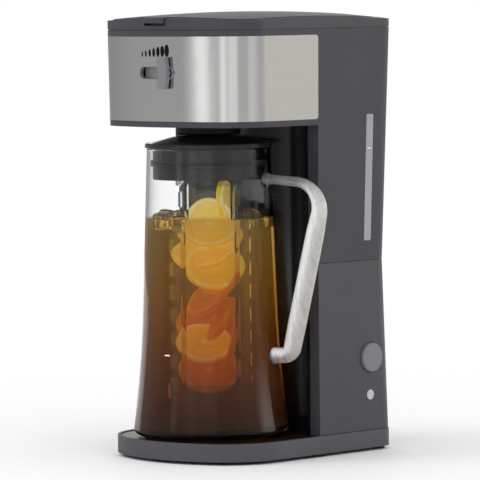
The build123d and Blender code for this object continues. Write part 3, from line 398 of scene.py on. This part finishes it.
def write_across(bm, layer, share_of):
    """Write each corner's share, from 0 to 1, as its UV x."""
    for face in bm.faces:
        for loop in face.loops:
            loop[layer].uv = (share_of[loop.vert], 0.5)


def mesh_object(name, bm, mat):
    """Object in the scene made from a bmesh."""
    mesh = bpy.data.meshes.new(name)
    bm.to_mesh(mesh)
    bm.free()
    mesh.materials.append(mat)
    obj = bpy.data.objects.new(name, mesh)
    bpy.context.scene.collection.objects.link(obj)
    return obj


def new_piece(name, bm, mat, body, smooth=True):
    """Piece of the model that rides on a body and takes its finish from a slot."""
    obj = mesh_object(name, bm, mat)
    for face in obj.data.polygons:
        face.use_smooth = smooth
    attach(obj, body)
    return obj


def revolve(profile):
    """Closed mesh of revolution about the pitcher's axis, from (radius, height) in mm."""
    bm = bmesh.new()
    rings = []
    for radius, height in profile:
        angles = circle(TEA_SIDES) if radius else [0.0]
        rings.append([bm.verts.new(place(radius * math.cos(a), radius * math.sin(a), height))
                      for a in angles])
    skin(bm, rings)
    return bm


# ---- tea in the pitcher ----
FOOT, WAIST, RIM = (70.9, 20.6), (60.6, 140.0), (55.8, 278.7)   # the glass's (radius, height)
# thickness of the glass wall: (height, thickness)
WALL = [(25.5, 6.2), (26, 5.12), (27, 3.69), (28, 2.95), (30, 2.38), (60, 2.68), (100, 2.93),
        (140, 3.03), (280, 3.03)]
TEA_BOTTOM, TEA_TOP, TEA_SIDES = 25.2, 216.0, 128
MENISCUS_HIGH, MENISCUS_WIDE = 0.6, 0.7     # the surface climbs a little where it meets the glass
OVERLAP = 0.4                               # the tea reaches into the glass, so no air shows


def glass_radius(z):
    """Outer radius of the pitcher at a height, from its taper and its flare."""
    slope = (WAIST[0] - RIM[0]) / (RIM[1] - WAIST[1])
    if z >= WAIST[1]:
        return RIM[0] + slope * (RIM[1] - z)
    drop, whole = WAIST[1] - z, WAIST[1] - FOOT[1]
    bend = (FOOT[0] - WAIST[0] - slope * whole) / whole ** 2
    return WAIST[0] + slope * drop + bend * drop ** 2


def inside_radius(z):
    """Inner radius of the pitcher at a height, from the thickness of its wall."""
    for (low_z, low_wall), (high_z, high_wall) in zip(WALL, WALL[1:]):
        if z <= high_z:
            share = (z - low_z) / (high_z - low_z)
            return glass_radius(z) - low_wall - (high_wall - low_wall) * share


heights = [26, 27, 28, 30] + list(range(34, 214, 6)) + [214.5]
tea_profile = [
    (0.0, TEA_BOTTOM), (inside_radius(25.6), TEA_BOTTOM),
    *[(inside_radius(z) + OVERLAP, z) for z in heights],
    (inside_radius(TEA_TOP) + OVERLAP, TEA_TOP + MENISCUS_HIGH),
    (inside_radius(TEA_TOP) - MENISCUS_WIDE, TEA_TOP), (0.0, TEA_TOP)]
new_piece("tea", revolve(tea_profile), tea_look, "pitcher")


# ---- the handle, a rod of glass pulled into a loop and welded on, in mm ----
HANDLE_TURN, HANDLE_WIDTH = math.radians(109.0), 16.5
HANDLE_CORNERS = [(56.0, 251.2), (114.0, 246.5), (79.5, 93.5), (62.3, 92.3)]  # (radius, height)
HANDLE_BENDS = [24.0, 9.0]
HANDLE_THICKNESS = [8.6, 8.6, 9.4, 13.5, 16.4, 16.8, 16.8, 16.8, 16.8, 16.0, 12.5]
WELD_LENGTH, TOP_SWELL, LOW_SWELL = 4.0, 0.28, 0.20
ROD_STEP, BEND_STEPS, ROD_SIDES = 2.0, 14, 40
PAD_RINGS, PAD_SIDES = 12, 48
PAD_PROUD, PAD_SINK, PAD_BACK = 4.2, 0.4, 0.8                   # above and into the glass
PAD_SWIRL, PAD_TURNS = 0.5, 2.0
HANDLE_OUT = Vector((math.sin(HANDLE_TURN), -math.cos(HANDLE_TURN), 0))
HANDLE_SIDE = Vector((HANDLE_OUT.y, -HANDLE_OUT.x, 0))


def rod_line():
    """Radius, height and heading along the handle, about every two millimetres."""
    places = []

    def straight(begin, end, way):
        count = max(2, round(math.dist(begin, end) / ROD_STEP))
        for i in range(count):
            places.append((begin[0] + (end[0] - begin[0]) * i / count,
                           begin[1] + (end[1] - begin[1]) * i / count, way))

    here = HANDLE_CORNERS[0]
    for number, bend in enumerate(HANDLE_BENDS):
        before, corner, after = HANDLE_CORNERS[number:number + 3]
        begin = math.atan2(corner[1] - before[1], corner[0] - before[0])
        turn = math.atan2(after[1] - corner[1], after[0] - corner[0]) - begin
        back = bend * math.tan(-turn / 2)
        centre = (corner[0] - back * math.cos(begin) + bend * math.sin(begin),
                  corner[1] - back * math.sin(begin) - bend * math.cos(begin))
        ways = [begin + turn * i / BEND_STEPS for i in range(BEND_STEPS + 1)]
        arc = [(centre[0] - bend * math.sin(w), centre[1] + bend * math.cos(w), w) for w in ways]
        straight(here, arc[0][:2], begin)
        places.extend(arc[:-1])
        here, last = arc[-1][:2], arc[-1][2]
    straight(here, HANDLE_CORNERS[-1], last)
    places.append((*HANDLE_CORNERS[-1], last))
    return places


def thickness_at(share):
    """The rod's thickness at a share of its length, from 0 at the top weld to 1."""
    spot = share * (len(HANDLE_THICKNESS) - 1)
    low = min(int(spot), len(HANDLE_THICKNESS) - 2)
    here, after = HANDLE_THICKNESS[low:low + 2]
    return here + (after - here) * (spot - low)


def glass_rod():
    """The rod's mesh; UV x is 0 along its inner edge and 1 along its outer edge."""
    bm = bmesh.new()
    layer = bm.loops.layers.uv.new("UVMap")
    places = rod_line()
    lengths = [0.0]
    for one, two in zip(places, places[1:]):
        lengths.append(lengths[-1] + math.dist(one[:2], two[:2]))
    whole = lengths[-1]
    rings, share_of = [], {}
    for (radius, height, way), length in zip(places, lengths):
        thick = thickness_at(length / whole)
        swell = (1 + TOP_SWELL * math.exp(-(length / WELD_LENGTH) ** 2)
                 + LOW_SWELL * math.exp(-((whole - length) / WELD_LENGTH) ** 2))
        across = HANDLE_OUT * -math.sin(way) + Vector((0, 0, math.cos(way)))
        centre = place(0, 0, 0) + (HANDLE_OUT * radius + Vector((0, 0, height))) * MM
        ring = []
        for angle in circle(ROD_SIDES):
            sideways = HANDLE_SIDE * math.cos(angle) * HANDLE_WIDTH / 2 * (0.5 + swell / 2)
            outwards = across * math.sin(angle) * thick / 2 * swell
            ring.append(bm.verts.new(centre + (sideways + outwards) * MM))
            share_of[ring[-1]] = 0.5 + 0.5 * math.sin(angle)
        rings.append(ring)
    skin(bm, rings, capped=True)
    write_across(bm, layer, share_of)
    return bm


def weld_pad(name, height, wide, tall):
    """Melted glass where the rod meets the pitcher, with a swirl in its face."""
    bm = bmesh.new()
    base = glass_radius(height)
    rings = []
    for i in range(PAD_RINGS + 1):
        share = i / PAD_RINGS
        ring = []
        for angle in circle(PAD_SIDES) if i else [0.0]:
            swirl = (PAD_SWIRL * math.cos(2 * math.pi * PAD_TURNS * share - angle)
                     * math.sin(math.pi * share))
            proud = PAD_PROUD * (1 - share ** 2.2) + swirl
            across = wide * share * math.cos(angle)
            on_glass = math.sqrt(base ** 2 - across ** 2) - PAD_SINK
            rise = height + tall * share * math.sin(angle)
            ring.append(bm.verts.new(
                place(0, 0, rise) + (HANDLE_OUT * (on_glass + proud) + HANDLE_SIDE * across) * MM))
        rings.append(ring)
    rings.append([bm.verts.new(place(0, 0, height) + HANDLE_OUT * (base - PAD_BACK) * MM)])
    skin(bm, rings)
    return new_piece(name, bm, rod_glass, "pitcher")


weld_pad("weld_top", 251.0, 10.5, 7.0)
weld_pad("weld_low", 92.0, 10.5, 8.0)
rod = new_piece("glass_handle", glass_rod(), handle_painted_highlight, "pitcher")
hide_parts("pitcher_handle")

# ---- fruit in the infuser, in mm ----
# directions as the camera sees the pitcher
SCREEN_RIGHT = Vector((math.cos(AZIMUTH), math.sin(AZIMUTH), 0))
SCREEN_TOWARD = Vector((math.sin(AZIMUTH), -math.cos(AZIMUTH), 0))
SLICE_SIDES, RIND_WOBBLE = 48, 0.012
# half of a slice's outline: (share of the radius, share of the half thickness, UV x)
SLICE_HALF = [(0.0, 1.0, 0.0), (0.4, 1.0, 0.4), (0.8, 0.98, 0.8), (0.95, 0.9, 0.93), (1.0, 0.4, 1.0)]
# each: name, material, centre (right, towards the camera, height), radius, thickness, facing, spin
FRUIT = [
    ("lemon_top", lemon, (0, 8, 212), 22.0, 6.0, (0.05, 1, 0.15), 0.3),
    ("lemon_rear", lemon, (14, -2, 231), 18.5, 6.0, (1, 0.32, 0.05), 0.8),
    ("lemon_mid", lemon, (3, 10, 172), 22.0, 6.5, (0.12, 1, 0.4), 1.2),
    ("lemon_under", lemon, (-4, -2, 184), 22.0, 6.0, (-0.2, 0.6, 0.8), 1.9),
    ("orange_a", orange, (8, 5, 160), 17.0, 6.0, (-0.55, 0.6, 0.55), 2.0),
    ("orange_b", orange, (1, 2, 146), 22.0, 6.0, (-0.75, 0.35, 0.6), 0.5),
    ("orange_c", orange, (5, -2, 124), 22.0, 6.0, (-0.85, 0.3, 0.45), 1.1),
    ("orange_d", orange, (14, 2, 100), 18.0, 5.0, (-1.0, 0.15, 0.25), 1.4),
    ("lemon_low", lemon, (-5, 8, 103), 20.0, 6.0, (0.1, 0.9, 0.6), 2.2),
    ("orange_low", orange, (-1, 9, 79), 22.0, 6.5, (0.0, 1, 0.25), 1.7),
    ("lemon_back", lemon, (1, -14, 200), 20.0, 6.0, (0.2, -1, 0.3), 2.9),
    ("orange_back", orange, (-2, -14, 120), 20.0, 6.0, (-0.1, -1, 0.2), 0.9),
]


def slice_of(name, mat, centre, radius, thick, facing, spin):
    """Round slice of fruit; UV x runs from the middle (0) to the rind (1)."""
    bm = bmesh.new()
    layer = bm.loops.layers.uv.new("UVMap")
    rings, share_of = [], {}
    outline = SLICE_HALF + [(reach, -level, share) for reach, level, share in SLICE_HALF[::-1]]
    for reach, level, share in outline:
        ring = []
        for angle in circle(SLICE_SIDES) if reach else [0.0]:
            out = reach * radius * (1 + RIND_WOBBLE * math.sin(5 * angle + spin))
            ring.append(bm.verts.new((out * math.cos(angle), out * math.sin(angle),
                                      level * thick / 2)))
            share_of[ring[-1]] = share
        rings.append(ring)
    skin(bm, rings)
    write_across(bm, layer, share_of)
    across, ahead, rise = centre
    where = place(0, 0, rise) + (SCREEN_RIGHT * across + SCREEN_TOWARD * ahead) * MM
    normal = SCREEN_RIGHT * facing[0] + SCREEN_TOWARD * facing[1] + Vector((0, 0, facing[2]))
    turned = (Matrix.Translation(where) @ normal.to_track_quat("Z", "Y").to_matrix().to_4x4()
              @ Matrix.Rotation(spin, 4, "Z") @ Matrix.Scale(MM, 4))
    bmesh.ops.transform(bm, matrix=turned, verts=bm.verts)
    return new_piece(name, bm, mat, "pitcher_cover")


for fruit in FRUIT:
    slice_of(*fruit)

# ---- ice at the surface: (x, y, z, size) in mm from the pitcher's axis ----
ICE = [(-40, -14, 215, 15), (-43, 3, 213.5, 13), (-35, 24, 216, 14), (-27, -32, 214, 15),
       (-12, -43, 213.5, 14), (12, 42, 214, 16), (38, 18, 213, 14), (-14, 42, 215, 15),
       (4, -43, 212, 13)]
BALL_RADIUS, MELT, DENTS = 0.56, 0.35, 0.06  # how far a cube melts towards a ball, and its dents
for number, (x, y, z, size) in enumerate(ICE):
    bm = bmesh.new()
    bmesh.ops.create_cube(bm, size=1.0)
    bmesh.ops.subdivide_edges(bm, edges=bm.edges, cuts=3, use_grid_fill=True)
    for vert in bm.verts:
        vert.co = vert.co.lerp(vert.co.normalized() * BALL_RADIUS, MELT)
        vert.co *= 1 + DENTS * (rng.random() - 0.5)
    spin = Matrix.Rotation(rng.random() * 3, 4, "Z") @ Matrix.Rotation(rng.random(), 4, "X")
    turned = Matrix.Translation(place(x, y, z)) @ spin @ Matrix.Scale(size * MM, 4)
    bmesh.ops.transform(bm, matrix=turned, verts=bm.verts)
    cube = new_piece(f"ice_{number}", bm, ice, "pitcher")
    cube.modifiers.new("round", "SUBSURF").levels = 1

# ---- strength scale printed on the steel: seven growing ellipses, in mm ----
NOSE_R, STEEL_PROUD = 200.0, 0.1
NOSE_FRONT, NOSE_LEAN = 66.0, 1.2 / 86.0    # how far forward the head reaches, and its lean
HEAD_LOW, SCALE_LOW = 299.0, 361.8          # heights of the head's and the scale's lower edge
ELLIPSES, SCALE_X = 7, (-16.6, 31.0)        # place of the first, and the way to the last
SCALE_TALL, SCALE_WIDE = (4.6, 6.4), (1.9, 3.3)                 # size of the first, and growth


def on_nose(x, z, proud):
    """Point a little proud of the steel band's front."""
    reach = NOSE_FRONT + NOSE_LEAN * (z - HEAD_LOW)
    return place(x, NOSE_R - reach - math.sqrt((NOSE_R + STEEL_PROUD + proud) ** 2 - x * x), z)


bm = bmesh.new()
for number in range(ELLIPSES):
    share = number / (ELLIPSES - 1)
    tall = SCALE_TALL[0] + SCALE_TALL[1] * share
    wide = SCALE_WIDE[0] + SCALE_WIDE[1] * share
    mid_x, mid_z = SCALE_X[0] + SCALE_X[1] * share ** 1.03, SCALE_LOW + tall / 2
    skin(bm, [[bm.verts.new(on_nose(mid_x + size * wide / 2 * math.cos(a),
                                    mid_z + size * tall / 2 * math.sin(a), proud))
               for a in circle(32)]
              for proud, size in [(-0.05, 1.0), (0.06, 1.0), (0.10, 0.9)]], capped=True)
new_piece("strength_scale", bm, ink, "machine", False)

# ---- plain level mark printed on the glass, in mm ----
MARK_Z, MARK_HALF_HIGH, MARK_PROUD, MARK_SINK = 95.5, 0.55, 0.05, 0.08
MARK_FACING = AZIMUTH - math.pi / 2 - math.radians(38.2)
MARK_SPAN, MARK_STEPS = math.radians(5.4), 8

bm = bmesh.new()
mark_radius = glass_radius(MARK_Z) + MARK_PROUD
rows = []
for i in range(MARK_STEPS + 1):
    angle = MARK_FACING + MARK_SPAN * (i / MARK_STEPS - 0.5)
    rows.append([bm.verts.new(place((mark_radius + lift) * math.cos(angle),
                                    (mark_radius + lift) * math.sin(angle), MARK_Z + rise))
                 for lift, rise in [(0, -MARK_HALF_HIGH), (0, MARK_HALF_HIGH),
                                    (-MARK_SINK, MARK_HALF_HIGH), (-MARK_SINK, -MARK_HALF_HIGH)]])
skin(bm, rows, capped=True)
new_piece("level_mark", bm, white_print, "pitcher", False)

# ---- plain tick on the water window ----
TICK_Z = 0.276                                                  # metres
TICK_CORNERS = [(-2.6, -0.35), (2.6, -0.35), (2.6, 0.35), (-2.6, 0.35)]     # mm, (y, z)
TICK_LIFT, TICK_THICK = 0.06, 0.14                              # mm
SWEEP_FROM, SWEEP_STEP, SWEEP_COUNT = 0.105, 0.00005, 400       # metres behind the axis
RIGHT_OF_ALL = 0.3

# rays from the right find the window's face, and the tick goes on its middle
window = nodes["water_window"].data
pane = BVHTree.FromPolygons([v.co for v in window.vertices], [p.vertices for p in window.polygons])
found = []
for i in range(SWEEP_COUNT):
    start = Vector((RIGHT_OF_ALL, AXIS.y + SWEEP_FROM + i * SWEEP_STEP, TICK_Z))
    hit = pane.ray_cast(start, Vector((-1, 0, 0)))[0]
    if hit is not None:
        found.append(hit)
middle = found[len(found) // 2]
bm = bmesh.new()
outer = [bm.verts.new(Vector((middle.x + TICK_LIFT * MM, middle.y + dy * MM, TICK_Z + dz * MM)))
         for dy, dz in TICK_CORNERS]
inner = [bm.verts.new(vert.co - Vector((TICK_THICK * MM, 0, 0))) for vert in outer]
skin(bm, [outer, inner], capped=True)
new_piece("window_tick", bm, white_print, "machine", False)

# ---- floor, which fades into the white backdrop, in metres ----
FLOOR_RADIUS, FADE_BEGIN, FADE_END = 3.0, 0.15, 0.9

floor_mat, tree, bsdf = shader("floor")
bsdf.inputs["Base Color"].default_value = (0.9, 0.9, 0.9, 1)
bsdf.inputs["Roughness"].default_value = 0.6
away = tree.nodes.new("ShaderNodeVectorMath")
away.operation = "LENGTH"
tree.links.new(coords(tree), away.inputs[0])
glow = tree.nodes.new("ShaderNodeEmission")
mix = tree.nodes.new("ShaderNodeMixShader")
tree.links.new(remap(tree, away.outputs["Value"], FADE_BEGIN, FADE_END), mix.inputs["Fac"])
tree.links.new(bsdf.outputs["BSDF"], mix.inputs[1])
tree.links.new(glow.outputs["Emission"], mix.inputs[2])
tree.links.new(mix.outputs["Shader"], tree.nodes["Material Output"].inputs["Surface"])

bm = bmesh.new()
bmesh.ops.create_circle(bm, cap_ends=True, radius=FLOOR_RADIUS, segments=96)
floor = mesh_object("floor", bm, floor_mat)
floor.location = (AXIS.x, AXIS.y, 0)


# ---- light: a white world whose reflections show soft panels round the object ----
def at(degrees):
    """Ramp position of a compass direction: 0 is the front, 90 the right side."""
    return (degrees + 180) / 360


WARM = (0.75, 0.73, 0.68)
PANELS = [
    (at(-180), 0.5), (at(-136), 0.36), (at(-85), 0.36), (at(-64), 0.44), (at(-44), 0.46),
    (at(-26), 0.44), (at(-21), 0.67), (at(-17), 1.25), (at(-12.5), 1.25), (at(-9), 0.65),
    (at(-3), 0.60), (at(4), 0.8), (at(10), 1.15), (at(20), 1.0), (at(25), 0.75), (at(30), 0.95),
    (at(48), 0.95), (at(56), 0.56), (at(78), 0.56), (at(86), 0.75), (at(98), 0.74),
    (at(112), 0.58), (at(125), 0.52), (at(135.7), WARM), (at(180), 0.5)]

world = bpy.data.worlds.new("studio")
bpy.context.scene.world = world
world.use_nodes = True
tree = world.node_tree
white = tree.nodes["Background"]
white.inputs["Color"].default_value = (1, 1, 1, 1)
white.inputs["Strength"].default_value = 1.0
ray = split(tree, tree.nodes.new("ShaderNodeTexCoord").outputs["Generated"])
bearing = maths(tree, "ARCTAN2", ray["X"], maths(tree, "MULTIPLY", ray["Y"], -1.0))
fade = remap(tree, ray["Z"], 0.10, 0.28, 1.0, 0.30)           # darker overhead
behind = remap(tree, ray["Y"], 0.45, 0.65)
above = remap(tree, ray["Z"], 0.02, 0.07, 0.0, 3.0)
brighter = maths(tree, "MULTIPLY_ADD", behind, above, 1.0)    # and brighter behind the object
panels = tree.nodes.new("ShaderNodeBackground")
tree.links.new(ramp(tree, remap(tree, bearing, -math.pi, math.pi), PANELS), panels.inputs["Color"])
tree.links.new(maths(tree, "MULTIPLY", brighter, fade), panels.inputs["Strength"])
path = tree.nodes.new("ShaderNodeLightPath")
mix = tree.nodes.new("ShaderNodeMixShader")
tree.links.new(maths(tree, "MINIMUM", path.outputs["Glossy Depth"], 1.0), mix.inputs["Fac"])
tree.links.new(white.outputs["Background"], mix.inputs[1])
tree.links.new(panels.outputs["Background"], mix.inputs[2])
tree.links.new(mix.outputs["Shader"], tree.nodes["World Output"].inputs["Surface"])

AIM = Vector((0, 0, 0.2))
SOFTBOXES = [((-1.6, -1.8, 1.9), 1.4, 26.0), ((1.9, -0.6, 1.6), 1.2, 9.0)]  # place, size, watts
for where, size, power in SOFTBOXES:
    lamp = bpy.data.lights.new("softbox", "AREA")
    lamp.size = size
    lamp.energy = power
    lamp_object = bpy.data.objects.new("softbox", lamp)
    lamp_object.location = where
    lamp_object.rotation_euler = (AIM - Vector(where)).to_track_quat("-Z", "Y").to_euler()
    bpy.context.scene.collection.objects.link(lamp_object)
